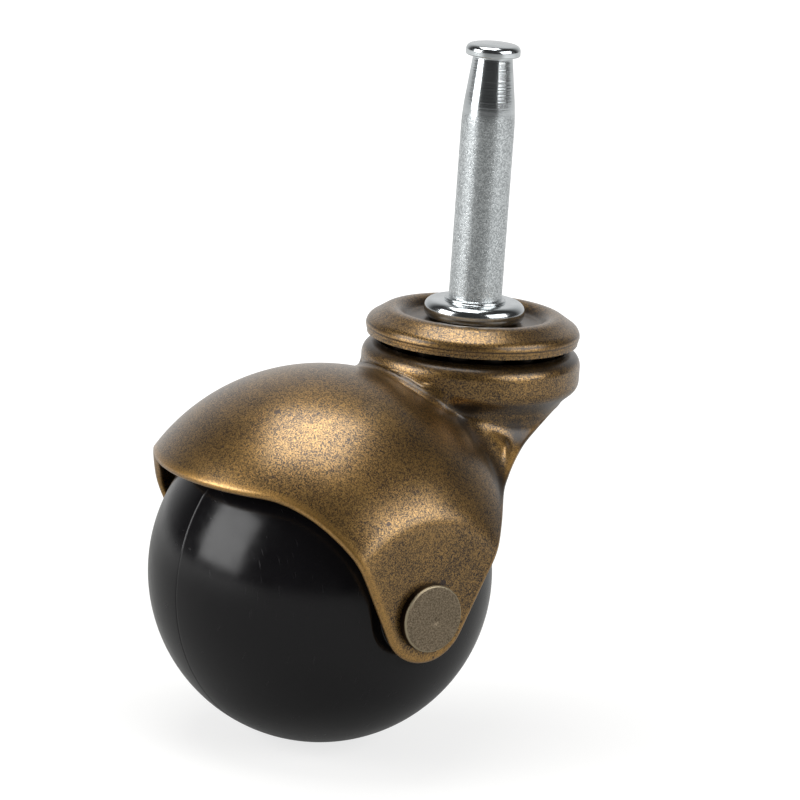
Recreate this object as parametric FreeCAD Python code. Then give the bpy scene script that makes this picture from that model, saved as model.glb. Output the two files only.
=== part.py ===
# Ball castor: a hooded ball wheel on a swivelling grip-neck stem, in millimetres.
# The frame stands on the stem: Z is the stem's axis and points up, the origin is the foot of the stem's
# grip, the ball trails along -X and its axle lies along Y.
import FreeCAD, Part
import math
import os
from FreeCAD import Vector

# Ball wheel, moulded in one piece
WHEEL_DIAMETER = 50.8
WHEEL_FLAT_RADIUS = 8.0
HUB_BOSS_RADIUS = 6.2
HUB_BOSS_HEIGHT = 1.35
HUB_SIDE_PLAY = 0.24

# Where the ball sits under the stem
SWIVEL_INSET = 0.3
DOME_TOP_DROP = 8.9

# Axle rivet and its spacer sleeve
AXLE_RADIUS = 3.0
AXLE_HEAD_RADIUS = 4.96
AXLE_HEAD_HEIGHT = 1.4
AXLE_HEAD_EDGE = 0.3
SLEEVE_WALL = 1.2
SLEEVE_END_PLAY = 0.05
SLIP_FIT = 0.05
RUNNING_FIT = 0.09

# Stem: grip, tapered neck and retaining head in one cold-headed piece
STEM_RADIUS = 3.969
GRIP_LENGTH = 27.8
NECK_RADIUS = 2.95
NECK_LENGTH = 8.7
NECK_STRAIGHT = 0.35
HEAD_RADIUS = 4.05
HEAD_HEIGHT = 1.9
HEAD_ROUND = 0.95
BASE_RING_RADIUS = 4.6
BASE_RING_HEIGHT = 0.35
COLLAR_RADIUS = 7.54
COLLAR_HEIGHT = 2.95
COLLAR_ROUND = 1.35
SHANK_RADIUS = 4.4
PEEN_RADIUS = 6.4
PEEN_HEIGHT = 1.9
PEEN_ROUND = 1.4

# Swivel cap and the race nested under it, both pressed from thin sheet
CAP_SHEET = 0.55
CAP_RADIUS = 16.0
CAP_CROWN_RISE = 1.35
CAP_CROWN_ROUND = 2.3
CAP_LIP_SLOPE = 45.0
CAP_OUTER_SLOPE = 33.0
CAP_HEM_ROUND = 1.7
CAP_HEM_DEPTH = 0.61
RACE_SHEET = 0.5
RACE_RIM_INSET = 0.25
RACE_RIM_WIDTH = 0.75
RACE_ARCH_RISE = 0.49
RACE_ARCH_ANGLE = 50.0
NEST_GAP = 0.02

# Ring of bearing balls between the race and the hood
BALL_COUNT = 16
BALL_RADIUS = 1.985
BALL_RING_INSET = 3.7
RACE_PLAY = 0.1

# Hood: one pressed sheet with a round neck, a flared skirt, a dome and two ears
HOOD_SHEET = 1.3
DOME_GAP = 3.9
EAR_SHOULDER_ROUND = 7.0
GROOVE_DEPTH = 0.95
NECK_OVERHANG = 0.36
NECK_WALL_HEIGHT = 2.0
NECK_TOP_ROUND = 2.2
NECK_BELLY_ROUND = 2.2
NECK_BELLY_ANGLE = 48.0
WAIST_RADIUS = 12.7
NECK_ROOT = 4.0
SKIRT_FOOT_RISE = 7.24
SKIRT_FOOT_CUT = 3.2
SKIRT_TOP_RISE = 1.6
SKIRT_TOP_REACH = 9.4
VALLEY_ROUND = 3.5
VALLEY_SINK = 0.01

# Trimmed edge of the hood, seen from the side and measured from the ball's centre
LIP_DROP = 8.9
LIP_INSET = 3.8
LIP_HANDLE = 4.5
SWEEP_HANDLE = 5.0
EAR_END_MARGIN = 2.09
EAR_FLANK_ANGLE = 27.0
EAR_FLANK_LENGTH = 9.0
ARCH_FLANK_HANDLE = 12.0
ARCH_NECK_HANDLE = 6.5
ARCH_TOP_DROP = 7.8

# Washer that the peened stem end bears on
WASHER_INSET = 3.3
WASHER_HEIGHT = 1.4
WASHER_PLAY = 0.15

# Distance under which two shapes count as touching
MEETING = 0.01

UP = Vector(0, 0, 1)
ORIGIN = Vector(0, 0, 0)

# Heights that follow from the sizes above
wheel_radius = WHEEL_DIAMETER / 2
dome_radius = wheel_radius + DOME_GAP + HOOD_SHEET
wheel_centre = Vector(SWIVEL_INSET - wheel_radius, 0, -DOME_TOP_DROP - dome_radius)
flat_y = math.sqrt(wheel_radius ** 2 - WHEEL_FLAT_RADIUS ** 2)
hub_y = flat_y + HUB_BOSS_HEIGHT
ear_inner_y = hub_y + HUB_SIDE_PLAY
ear_outer_y = ear_inner_y + HOOD_SHEET
pitch_radius = CAP_RADIUS - BALL_RING_INSET
race_rim_radius = CAP_RADIUS - RACE_RIM_INSET
neck_radius = CAP_RADIUS + NECK_OVERHANG
washer_radius = pitch_radius - WASHER_INSET
collar_top = -BASE_RING_HEIGHT
collar_bottom = collar_top - COLLAR_HEIGHT
race_floor = collar_bottom - CAP_SHEET - NEST_GAP
groove_radius = BALL_RADIUS + RACE_PLAY
ball_height = race_floor - RACE_SHEET + RACE_ARCH_RISE - groove_radius
roof_height = ball_height - groove_radius + GROOVE_DEPTH
washer_top = roof_height - HOOD_SHEET - WASHER_PLAY
peen_top = washer_top - WASHER_HEIGHT
shank_hole = SHANK_RADIUS + SLIP_FIT
swivel_hole = SHANK_RADIUS + RUNNING_FIT
sleeve_bore = AXLE_RADIUS + SLIP_FIT
sleeve_radius = sleeve_bore + SLEEVE_WALL


def line(start, end):
    return Part.LineSegment(start, end).toShape()


def arc(start, through, end):
    return Part.Arc(start, through, end).toShape()


def bezier(*poles):
    curve = Part.BezierCurve()
    curve.setPoles(list(poles))
    return curve.toShape()


def at(radius, height):
    return Vector(radius, 0, height)


def polar(centre, radius, degrees):
    # a point of the XZ plane, with the angle counted from +X towards +Z
    angle = math.radians(degrees)
    return centre + Vector(radius * math.cos(angle), 0, radius * math.sin(angle))


def round_arc(centre, radius, start, end):
    return arc(polar(centre, radius, start), polar(centre, radius, (start + end) / 2), polar(centre, radius, end))


def chain(*pieces):
    # edges and loose points in order, with straight lines wherever two of them don't meet
    edges = []
    last = None
    first = None
    for piece in pieces:
        is_point = isinstance(piece, Vector)
        start = piece if is_point else piece.valueAt(piece.FirstParameter)
        end = piece if is_point else piece.valueAt(piece.LastParameter)
        if last is None:
            first = start
        elif last.distanceToPoint(start) > 1e-6:
            edges.append(line(last, start))
        if not is_point:
            edges.append(piece)
        last = end
    if last.distanceToPoint(first) > 1e-6:
        edges.append(line(last, first))
    return Part.Wire(edges)


def turned(*pieces):
    # a closed outline of the XZ plane turned about the stem's axis
    return Part.Face(chain(*pieces)).revolve(ORIGIN, UP, 360)


def cylinder_y(radius, start, end):
    return Part.makeCylinder(radius, end - start, Vector(wheel_centre.x, start, wheel_centre.z), Vector(0, 1, 0))


def stem():
    neck_base = GRIP_LENGTH + NECK_LENGTH - NECK_STRAIGHT
    head_base = GRIP_LENGTH + NECK_LENGTH
    head_top = head_base + HEAD_HEIGHT
    head_corner = at(HEAD_RADIUS - HEAD_ROUND, head_top - HEAD_ROUND)
    collar_upper = at(COLLAR_RADIUS - COLLAR_ROUND, collar_top - COLLAR_ROUND)
    collar_lower = at(COLLAR_RADIUS - COLLAR_ROUND, collar_bottom + COLLAR_ROUND)
    peen_bottom = peen_top - PEEN_HEIGHT
    return turned(
        at(0, head_top),
        round_arc(head_corner, HEAD_ROUND, 90, 0),
        at(HEAD_RADIUS, head_base),
        at(NECK_RADIUS, head_base),
        at(NECK_RADIUS, neck_base),
        at(STEM_RADIUS, GRIP_LENGTH),
        at(STEM_RADIUS, 0),
        at(BASE_RING_RADIUS, 0),
        at(BASE_RING_RADIUS, collar_top),
        round_arc(collar_upper, COLLAR_ROUND, 90, 0),
        round_arc(collar_lower, COLLAR_ROUND, 0, -90),
        at(SHANK_RADIUS, collar_bottom),
        at(SHANK_RADIUS, peen_top),
        at(PEEN_RADIUS, peen_top),
        round_arc(at(PEEN_RADIUS - PEEN_ROUND, peen_bottom + PEEN_ROUND), PEEN_ROUND, 0, -90),
        at(0, peen_bottom),
    )


def cap_crown_centre():
    return at(pitch_radius, collar_bottom + CAP_CROWN_RISE - CAP_CROWN_ROUND)


def cap_hem_centre():
    # centre of the round between the crown's outer slope and the hem
    slope = math.radians(CAP_OUTER_SLOPE)
    brow = polar(cap_crown_centre(), CAP_CROWN_ROUND, 90 - CAP_OUTER_SLOPE)
    touch_r = CAP_RADIUS - CAP_HEM_ROUND * (1 - math.sin(slope))
    touch_z = brow.z - (touch_r - brow.x) * math.tan(slope)
    return at(CAP_RADIUS - CAP_HEM_ROUND, touch_z - CAP_HEM_ROUND * math.cos(slope))


def swivel_cap():
    # the outline is the upper face of the sheet, and the lower face runs parallel to it
    def face(depth):
        floor = collar_bottom - depth
        crown_radius = CAP_CROWN_ROUND - depth
        hem_radius = CAP_HEM_ROUND - depth
        lip = polar(cap_crown_centre(), crown_radius, 90 + CAP_LIP_SLOPE)
        foot = at(lip.x - (lip.z - floor) / math.tan(math.radians(CAP_LIP_SLOPE)), floor)
        return [
            at(shank_hole, floor),
            foot,
            round_arc(cap_crown_centre(), crown_radius, 90 + CAP_LIP_SLOPE, 90 - CAP_OUTER_SLOPE),
            round_arc(cap_hem_centre(), hem_radius, 90 - CAP_OUTER_SLOPE, 0),
            cap_hem_centre() + Vector(hem_radius, 0, -CAP_HEM_DEPTH),
        ]

    return turned(*face(0), *reversed_pieces(face(CAP_SHEET)))


def reversed_pieces(pieces):
    flipped = []
    for piece in reversed(pieces):
        if isinstance(piece, Vector):
            flipped.append(piece)
        else:
            middle = (piece.FirstParameter + piece.LastParameter) / 2
            flipped.append(arc(piece.valueAt(piece.LastParameter), piece.valueAt(middle),
                               piece.valueAt(piece.FirstParameter)))
    return flipped


def upper_race():
    centre = at(pitch_radius, ball_height)
    top_radius = groove_radius + RACE_SHEET
    floor_under = race_floor - RACE_SHEET
    top_start = 90 + math.degrees(math.acos((race_floor - ball_height) / top_radius))
    under_start = 90 + math.degrees(math.acos((floor_under - ball_height) / groove_radius))
    outer = 90 - RACE_ARCH_ANGLE
    rim_top = cap_hem_centre().z - CAP_HEM_DEPTH - NEST_GAP
    rim_bottom = rim_top - RACE_SHEET
    rim_inner = race_rim_radius - RACE_RIM_WIDTH
    return turned(
        at(shank_hole, race_floor),
        round_arc(centre, top_radius, top_start, outer),
        at(rim_inner, rim_top),
        at(race_rim_radius, rim_top),
        at(race_rim_radius, rim_bottom),
        at(rim_inner - RACE_SHEET / 2, rim_bottom),
        round_arc(centre, groove_radius, outer, under_start),
        at(shank_hole, floor_under),
    )


def bearing_ball(index):
    angle = 2 * math.pi * index / BALL_COUNT
    place = Vector(pitch_radius * math.cos(angle), pitch_radius * math.sin(angle), ball_height)
    return Part.makeSphere(BALL_RADIUS, place)


def retaining_washer():
    disc = Part.makeCylinder(washer_radius, WASHER_HEIGHT, at(0, peen_top))
    return disc.cut(Part.makeCylinder(shank_hole, WASHER_HEIGHT, at(0, peen_top)))


def dome(depth, bore):
    # the ears and the dome are one shape turned about the axle; depth counts inwards from the outer face
    radius = dome_radius - depth
    ear_y = ear_outer_y - depth
    shoulder = EAR_SHOULDER_ROUND - depth
    centre_y = ear_y - shoulder
    centre_r = math.sqrt((radius - shoulder) ** 2 - centre_y ** 2)
    reach = radius / (radius - shoulder)
    knee_angle = (math.atan2(centre_y, centre_r) + math.pi / 2) / 2

    def side(sign):
        flat = Vector(centre_r, sign * ear_y, 0)
        knee = Vector(centre_r + shoulder * math.cos(knee_angle),
                      sign * (centre_y + shoulder * math.sin(knee_angle)), 0)
        touch = Vector(centre_r * reach, sign * centre_y * reach, 0)
        return flat, knee, touch

    near_flat, near_knee, near_touch = side(-1)
    far_flat, far_knee, far_touch = side(1)
    outline = chain(
        Vector(bore, -ear_y, 0),
        arc(near_flat, near_knee, near_touch),
        arc(near_touch, Vector(radius, 0, 0), far_touch),
        arc(far_touch, far_knee, far_flat),
        Vector(bore, ear_y, 0),
    )
    shape = Part.Face(outline).revolve(ORIGIN, Vector(0, 1, 0), 360)
    shape.translate(wheel_centre)
    return shape


def belly_centre():
    return at(neck_radius - NECK_BELLY_ROUND, roof_height - NECK_TOP_ROUND - NECK_WALL_HEIGHT)


def waist_height(depth=0.0):
    # where the cone under the neck's belly comes in to the waist
    start = polar(belly_centre(), NECK_BELLY_ROUND - depth, -NECK_BELLY_ANGLE)
    return start.z - (start.x - WAIST_RADIUS + depth) / math.tan(math.radians(NECK_BELLY_ANGLE))


def neck(depth, bore):
    top = at(neck_radius - NECK_TOP_ROUND, roof_height - NECK_TOP_ROUND)
    waist = waist_height(depth)
    root = waist - NECK_ROOT
    return turned(
        at(bore, roof_height - depth),
        round_arc(top, NECK_TOP_ROUND - depth, 90, 0),
        round_arc(belly_centre(), NECK_BELLY_ROUND - depth, 0, -NECK_BELLY_ANGLE),
        at(WAIST_RADIUS - depth, waist),
        at(WAIST_RADIUS - depth, root),
        at(bore, root),
    )


def groove(depth):
    return Part.makeTorus(pitch_radius, groove_radius + depth, at(0, ball_height))


def skirt_flare():
    # slope of the skirt's sides, which reach from the waist out to the ears
    foot = wheel_centre.z + SKIRT_FOOT_RISE
    return math.atan((ear_outer_y - WAIST_RADIUS) / (waist_height() - foot))


def skirt(depth, widening=0.0):
    # flat flared sides with a rounded back, from inside the neck down to the ears
    flare = skirt_flare()

    def section(height, front):
        half = WAIST_RADIUS + (waist_height() - height) * math.tan(flare) - depth / math.cos(flare) + widening
        front_left = Vector(front, half, height)
        front_right = Vector(front, -half, height)
        back = arc(Vector(0, half, height), Vector(half, 0, height), Vector(0, -half, height))
        return chain(front_left, back, front_right)

    top = section(waist_height() + SKIRT_TOP_RISE - depth, depth - SKIRT_TOP_REACH)
    bottom = section(wheel_centre.z + SKIRT_FOOT_RISE + SKIRT_FOOT_CUT, wheel_centre.x)
    return Part.makeLoft([top, bottom], True, True)


def valley(depth, side):
    # fills the hollow between the dome and a flat side of the skirt with a ring that rounds it off:
    # both faces are the same all round the side's normal through the ball's centre
    flare = skirt_flare()
    normal = Vector(0, side * math.cos(flare), math.sin(flare))
    ball = dome_radius - depth
    plane = WAIST_RADIUS * math.cos(flare) + (waist_height() - wheel_centre.z) * math.sin(flare) - depth
    blend = VALLEY_ROUND + depth
    away = ball + blend - VALLEY_SINK
    above = plane + blend - VALLEY_SINK
    centre = at(math.sqrt(away ** 2 - above ** 2), above)
    on_plane = centre - Vector(0, 0, blend)
    on_ball = centre - centre * (blend / away)
    between = centre - ((centre - on_plane) + (centre - on_ball)).normalize() * blend
    root = at(on_ball.x, on_plane.z - blend)
    ring = Part.Face(chain(arc(on_plane, between, on_ball), root)).revolve(ORIGIN, UP, 360)
    ring.Placement = FreeCAD.Placement(wheel_centre, FreeCAD.Rotation(UP, normal))
    return ring.common(skirt(depth, widening=2 * blend))


def kept_side(margin):
    # everything above the trimmed edge, as a prism along the axle; the margin widens it all round
    beyond = 2 * dome_radius

    def at_side(x, z):
        return wheel_centre + Vector(x, -beyond, z)

    flank = math.radians(EAR_FLANK_ANGLE)
    end_radius = AXLE_HEAD_RADIUS + EAR_END_MARGIN + margin
    lip_height = wheel_radius - LIP_DROP - margin
    flank_x = end_radius * math.cos(flank)
    flank_z = -end_radius * math.sin(flank)
    rise = Vector(math.sin(flank), 0, math.cos(flank))
    fall = Vector(math.sin(flank), 0, -math.cos(flank))
    front_low = at_side(-flank_x, flank_z)
    back_low = at_side(flank_x, flank_z)
    front_high = front_low - fall * EAR_FLANK_LENGTH
    back_high = back_low + rise * EAR_FLANK_LENGTH
    lip_end = at_side(LIP_INSET - wheel_radius - margin, lip_height)
    arch_end = Vector(WAIST_RADIUS, -beyond, roof_height - ARCH_TOP_DROP - margin)
    sweep = bezier(lip_end, lip_end + Vector(LIP_HANDLE, 0, 0), front_high - fall * SWEEP_HANDLE, front_high)
    arch = bezier(back_high, back_high + rise * ARCH_FLANK_HANDLE,
                  arch_end - Vector(ARCH_NECK_HANDLE, 0, 0), arch_end)
    outline = chain(
        at_side(-beyond, lip_height),
        sweep,
        arc(front_low, at_side(0, -end_radius), back_low),
        arch,
        Vector(beyond, -beyond, arch_end.z),
        at_side(beyond - wheel_centre.x, beyond),
        at_side(-beyond, beyond),
    )
    return Part.Face(outline).extrude(Vector(0, 2 * beyond, 0))


def middle(edge):
    return Part.Vertex(edge.valueAt((edge.FirstParameter + edge.LastParameter) / 2))


def hood_body(depth, axle_bore, stem_bore):
    # the solid inside the sheet's outer face, or inside a face parallel to it at this depth,
    # where the trim stands further out so that the hollow opens through the trimmed edge
    whole = dome(depth, axle_bore).fuse([skirt(depth), valley(depth, -1), valley(depth, 1)])
    whole = whole.fuse(neck(depth, stem_bore))
    return whole.common(kept_side(depth / 2)).cut(groove(depth))


def hood():
    return hood_body(0, sleeve_bore, swivel_hole).cut(hood_body(HOOD_SHEET, 0, 0))


def axle_rivet():
    # a shank with a flat head, and a head of the same size formed at the other end
    shank = cylinder_y(AXLE_RADIUS, -ear_outer_y, ear_outer_y)
    near_head = cylinder_y(AXLE_HEAD_RADIUS, -ear_outer_y - AXLE_HEAD_HEIGHT, -ear_outer_y)
    far_head = cylinder_y(AXLE_HEAD_RADIUS, ear_outer_y, ear_outer_y + AXLE_HEAD_HEIGHT)
    near_head = rounded_rim(near_head, -ear_outer_y - AXLE_HEAD_HEIGHT)
    far_head = rounded_rim(far_head, ear_outer_y + AXLE_HEAD_HEIGHT)
    return shank.fuse([near_head, far_head]).removeSplitter()


def rounded_rim(head, face_y):
    rim = [edge for edge in head.Edges if abs(middle(edge).Y - face_y) < MEETING]
    return head.makeFillet(AXLE_HEAD_EDGE, rim)


def axle_sleeve():
    end = ear_inner_y - SLEEVE_END_PLAY
    return cylinder_y(sleeve_radius, -end, end).cut(cylinder_y(sleeve_bore, -end, end))


def ball_wheel():
    ball = Part.makeSphere(wheel_radius, wheel_centre)
    flats = Part.makeBox(WHEEL_DIAMETER, 2 * flat_y, WHEEL_DIAMETER,
                         wheel_centre - Vector(wheel_radius, flat_y, wheel_radius))
    hub = cylinder_y(HUB_BOSS_RADIUS, -hub_y, hub_y)
    bore = cylinder_y(sleeve_radius + RUNNING_FIT, -hub_y, hub_y)
    return ball.common(flats).fuse(hub).cut(bore)


def write(name, shape):
    if len(shape.Solids) != 1 or not shape.isValid():
        raise ValueError(name + " isn't one valid solid")
    shape.Solids[0].exportStep(os.path.join("parts", name + ".step"))


def main():
    os.makedirs("parts", exist_ok=True)
    write("stem", stem())
    write("swivel_cap", swivel_cap())
    write("upper_race", upper_race())
    for index in range(BALL_COUNT):
        write(f"bearing_ball_{index + 1:02d}", bearing_ball(index))
    write("retaining_washer", retaining_washer())
    write("hood", hood())
    write("axle_rivet", axle_rivet())
    write("axle_sleeve", axle_sleeve())
    write("ball_wheel", ball_wheel())


main()
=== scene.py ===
"""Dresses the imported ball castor: hood, swivel cap, stem, ball, rivet and bearing, with a plain stage."""
import math

import bpy
import numpy as np
from bpy.props import FloatProperty, FloatVectorProperty, IntProperty, PointerProperty
from mathutils import Matrix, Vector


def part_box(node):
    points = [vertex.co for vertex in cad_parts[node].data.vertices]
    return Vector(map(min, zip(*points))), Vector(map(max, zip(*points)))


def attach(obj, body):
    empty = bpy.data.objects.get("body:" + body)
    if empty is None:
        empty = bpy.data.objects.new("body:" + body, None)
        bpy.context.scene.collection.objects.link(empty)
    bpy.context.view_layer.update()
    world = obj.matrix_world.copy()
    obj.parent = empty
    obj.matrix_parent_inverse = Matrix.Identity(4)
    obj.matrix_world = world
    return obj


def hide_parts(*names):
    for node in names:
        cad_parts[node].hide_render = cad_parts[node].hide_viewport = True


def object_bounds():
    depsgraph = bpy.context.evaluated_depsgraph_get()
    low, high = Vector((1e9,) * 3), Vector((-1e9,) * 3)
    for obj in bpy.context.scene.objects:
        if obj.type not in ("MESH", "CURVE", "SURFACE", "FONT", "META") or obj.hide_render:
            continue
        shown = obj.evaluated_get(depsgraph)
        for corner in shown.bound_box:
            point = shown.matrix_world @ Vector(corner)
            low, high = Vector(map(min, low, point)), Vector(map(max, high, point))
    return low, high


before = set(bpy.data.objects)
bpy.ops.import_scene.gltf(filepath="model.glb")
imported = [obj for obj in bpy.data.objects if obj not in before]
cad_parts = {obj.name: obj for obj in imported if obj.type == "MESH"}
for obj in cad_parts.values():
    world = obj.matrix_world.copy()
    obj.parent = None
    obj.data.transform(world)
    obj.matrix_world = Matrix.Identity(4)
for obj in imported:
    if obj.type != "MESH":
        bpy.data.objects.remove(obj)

bl_info = {
    "name": "Ball castor",
    "version": (1, 0, 0),
    "blender": (4, 5, 0),
    "location": "View3D > Sidebar > Castor",
    "description": "Builds the visible pieces of a hooded ball castor over its packed solids",
    "category": "Object",
}

MM = 0.001
WHITE = (1.0, 1.0, 1.0, 1.0)
# Small dark marks of wear on the hood, each as its place and its radius in millimetres
WEAR_MARKS = (((-39.0, -6.1, -13.0), 0.55), ((-34.9, -10.5, -12.7), 0.4),
              ((-32.65, -26.0, -25.45), 0.3), ((-22.8, -27.0, -34.7), 0.6))
# Where the hood's columns start on the neck, in degrees from the back, by their share of the trimmed edge
FAN_SHARES = (0, 0.13, 0.30, 0.46, 0.62, 0.68, 0.74, 0.80, 0.86)
FAN_DEGREES = (180, 172, 160, 150, 138, 128, 117, 106, 92)
# Points on each bend of the neck's profile, and top rows of the hood's grid that stay out of the smoothing
BEND_POINTS = 40
FIXED_ROWS = 12
# Softboxes: direction from the castor, width and height in metres, and power in watts
LAMPS = {"left": ((-0.90, 0.28, 0.33), (0.46, 0.46), 3.4),
         "right": ((0.352, -0.83, 0.43), (0.60, 0.44), 2.9),
         "top": ((-0.09, 0.11, 0.99), (0.50, 0.50), 4.0)}
LAMP_DISTANCE = 0.75
cad_low, cad_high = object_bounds()


def linear(code):
    """Linear RGBA of an sRGB hex colour such as #a08040."""
    srgb = np.array([int(code[i:i + 2], 16) for i in (1, 3, 5)]) / 255
    value = np.where(srgb <= 0.04045, srgb / 12.92, ((srgb + 0.055) / 1.055) ** 2.4)
    return (*value.tolist(), 1.0)


def centre_of(node):
    """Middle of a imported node's box, as an array."""
    low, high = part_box(node)
    return (np.array(low) + np.array(high)) / 2


def size_of(node):
    """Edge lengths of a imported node's box, as an array."""
    low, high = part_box(node)
    return np.array(high) - np.array(low)


ball_centre = centre_of("ball_wheel")
ball_radius = float(size_of("ball_wheel")[2] / 2)
ear_face = float(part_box("hood")[1].y)
hood_roof = float(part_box("hood")[1].z)
stem_top = float(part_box("stem")[1].z)
stem_foot = float(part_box("stem")[0].z)
cap_radius = float(size_of("swivel_cap")[0] / 2)
cap_hem = float(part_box("swivel_cap")[0].z)
rivet_reach = float(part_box("axle_rivet")[1].y)
hub_face = float(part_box("ball_wheel")[1].y)


def length(name, description, default):
    """A size in metres."""
    return FloatProperty(name=name, description=description, default=default, unit="LENGTH", precision=5)


def angle(name, description, degrees):
    """An angle, given in degrees and kept in radians."""
    return FloatProperty(name=name, description=description, default=math.radians(degrees), unit="ROTATION")


def colour(name, description, code):
    """A colour, given as sRGB hex and kept as linear RGBA."""
    return FloatVectorProperty(name=name, description=description, default=linear(code), size=4,
                               subtype="COLOR", min=0.0, max=1.0)


class CastorHood(bpy.types.PropertyGroup):
    """Sizes of the pressed hood."""
    sheet: length("Sheet", "Thickness of the hood's sheet", 1.3 * MM)
    dome: length("Dome radius", "Outer radius of the dome about the ball's centre", 30.6 * MM)
    shoulder: length("Ear shoulder", "Rounding between the dome and the flat ears", 7.0 * MM)
    valley: length("Valley blend", "How far the dome and the skirt melt into each other", 0.9 * MM)
    crease: length("Neck blend", "How far the neck and the skin under it melt into each other", 2.8 * MM)
    waist_fill: length("Waist blend", "How far the neck and the skirt melt into each other", 5.0 * MM)
    hole: length("Stem hole", "Radius of the hole for the stem", 4.49 * MM)
    groove: length("Ball groove", "Radius of the groove that the bearing balls run in", 2.085 * MM)
    wall: length("Neck radius", "Radius of the neck's wall", 16.36 * MM)
    wall_height: length("Neck wall", "Height of the straight part of the neck's wall", 2.0 * MM)
    bend: length("Neck bend", "Rounding of the neck's top and belly", 2.2 * MM)
    belly: angle("Belly angle", "How far the wall curls in under the neck", 48.0)
    belly_length: length("Belly length", "How far the belly's cone goes on inside the skin", 9.0 * MM)
    waist: length("Waist radius", "Radius where the belly has come in", 12.7 * MM)
    skirt_rise: length("Skirt top", "How far the skirt starts above the waist", 1.6 * MM)
    skirt_flare: angle("Skirt flare", "Slope of the skirt's flat sides", 40.6)
    skirt_foot: length("Skirt foot", "Lower end of the skirt, above the ball's centre", 10.44 * MM)
    skirt_reach: length("Skirt front", "How far the skirt's top lies in front of the stem's axis", 9.4 * MM)
    front_round: length("Skirt front round", "Rounding between the skirt's sides and its front", 4.0 * MM)
    end_round: length("Skirt end round", "Rounding of the skirt's top and foot", 2.5 * MM)
    fold_ridge: length("Fold ridge", "Height of the fold on the dome beside the neck", 0.24 * MM)
    fold_furrow: length("Fold furrow", "Depth of the furrow beside that fold", 0.16 * MM)
    skirt_ridge: length("Skirt ridge", "Height of the ridge on the skirt beside the dome", 0.6 * MM)
    valley_groove: length("Valley groove", "Depth of the groove between that ridge and the dome", 0.12 * MM)
    lip_rise: length("Lip height", "Front lip above the ball's centre", 16.5 * MM)
    lip_reach: length("Lip half length", "Flat part of the front lip, from the ball's centre", 21.6 * MM)
    lip_handle: length("Lip handle", "Pull of the sweep along the lip", 4.5 * MM)
    sweep_handle: length("Sweep handle", "Pull of the sweep along the ear's flank", 5.0 * MM)
    ear_end: length("Ear radius", "Rounded end of an ear about the axle", 7.05 * MM)
    ear_flank: angle("Ear flank", "Slope of an ear's straight flanks", 27.0)
    ear_flank_length: length("Ear flank length", "Length of an ear's straight flanks", 9.0 * MM)
    arch_drop: length("Arch drop", "Top of the open back, under the hood's roof", 7.8 * MM)
    arch_flank: length("Arch flank handle", "Pull of the arch along the ear's flank", 14.0 * MM)
    arch_neck: length("Arch neck handle", "Pull of the arch along the neck", 10.5 * MM)
    columns: IntProperty(name="Columns", description="Grid columns on half of the trimmed edge", default=180)
    rows: IntProperty(name="Rows", description="Grid rows from the neck to the trimmed edge", default=130)


class CastorTurned(bpy.types.PropertyGroup):
    """Sizes of the turned and pressed round pieces."""
    grip: length("Grip radius", "Radius of the stem's grip", 3.969 * MM)
    grip_length: length("Grip length", "Length of the stem's grip", 27.8 * MM)
    neck: length("Stem neck", "Radius of the neck under the stem's head", 2.95 * MM)
    head: length("Stem head", "Radius of the stem's head", 4.05 * MM)
    head_height: length("Stem head height", "Height of the stem's head", 1.9 * MM)
    base_ring: length("Base ring radius", "Radius of the small ring on the collar", 4.6 * MM)
    base_ring_height: length("Base ring height", "Height of the small ring on the collar", 0.35 * MM)
    collar: length("Collar radius", "Radius of the stem's collar", 7.54 * MM)
    collar_height: length("Collar height", "Height of the stem's collar", 2.95 * MM)
    collar_round: length("Collar round", "Rounding of the collar's edges", 1.35 * MM)
    shank: length("Shank radius", "Radius of the stem inside the swivel", 4.4 * MM)
    peen: length("Peen radius", "Radius of the stem's peened end", 6.4 * MM)
    peen_height: length("Peen height", "Height of the stem's peened end", 1.9 * MM)
    cap_sheet: length("Cap sheet", "Thickness of the swivel cap's sheet", 0.55 * MM)
    cap_hole: length("Cap hole", "Radius of the cap's hole", 4.45 * MM)
    cap_crown: length("Cap crown", "Rounding of the cap's crown", 2.3 * MM)
    crown_ring: length("Crown ring", "Radius of the ring on which the crown is highest", 12.3 * MM)
    crown_rise: length("Crown rise", "Height of the crown above the cap's recess", 1.35 * MM)
    crown_inside: angle("Crown inside", "Slope from the crown into the recess", 45.0)
    crown_outside: angle("Crown outside", "Slope from the crown out to the hem", 33.0)
    hem_step: length("Hem step", "Depth of the step above the cap's hem", 0.13 * MM)
    wheel_flat: length("Wheel flat", "Radius of the flat on each side of the ball", 8.0 * MM)
    wheel_boss: length("Wheel boss", "Radius of the ball's hub bosses", 6.2 * MM)
    wheel_bore: length("Wheel bore", "Radius of the ball's bore", 4.34 * MM)
    seam: length("Mould seam", "Depth of the ball's mould seam", 0.05 * MM)
    seam_width: length("Mould seam width", "Half the width of the ball's mould seam", 0.14 * MM)
    rivet: length("Rivet", "Radius of the axle rivet", 3.0 * MM)
    rivet_head: length("Rivet head", "Radius of the axle rivet's heads", 4.96 * MM)
    dimple: length("Dimple", "Depth of the dimple in the rivet's near head", 0.16 * MM)
    columns: IntProperty(name="Columns", description="Grid columns round a turned piece", default=128)


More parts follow.
